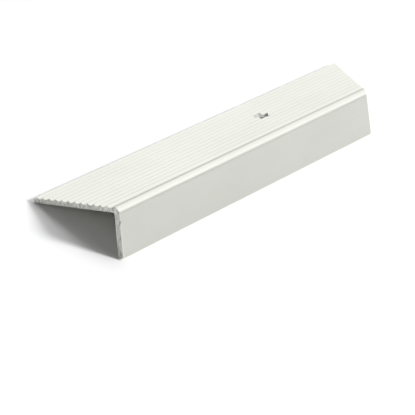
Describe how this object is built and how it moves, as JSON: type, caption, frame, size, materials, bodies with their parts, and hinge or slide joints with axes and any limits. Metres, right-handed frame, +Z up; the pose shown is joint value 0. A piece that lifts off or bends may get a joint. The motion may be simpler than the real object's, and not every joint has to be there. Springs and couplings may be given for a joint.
{
  "type": "stair nosing",
  "caption": "Aluminium stair nosing: an L-shaped extrusion with a ribbed tread, rounded nose and plain front leg, mitred at its far end and drilled for a countersunk screw, to edge a step.",
  "frame": {"origin": "on the floor under the middle of the box, with the piece lying on its leg's inner bottom edge and its tread's back edge", "axes": "+X along the length from the square end to the mitred end, +Y towards the tread's back edge, +Z up"},
  "size_m": [0.25, 0.0498, 0.0204],
  "materials": {
    "anodised_aluminium": "satin anodised, with fine extrusion lines"
  },
  "bodies": {
    "root": {"stair_nosing": "anodised_aluminium"}
  },
  "joints": []
}
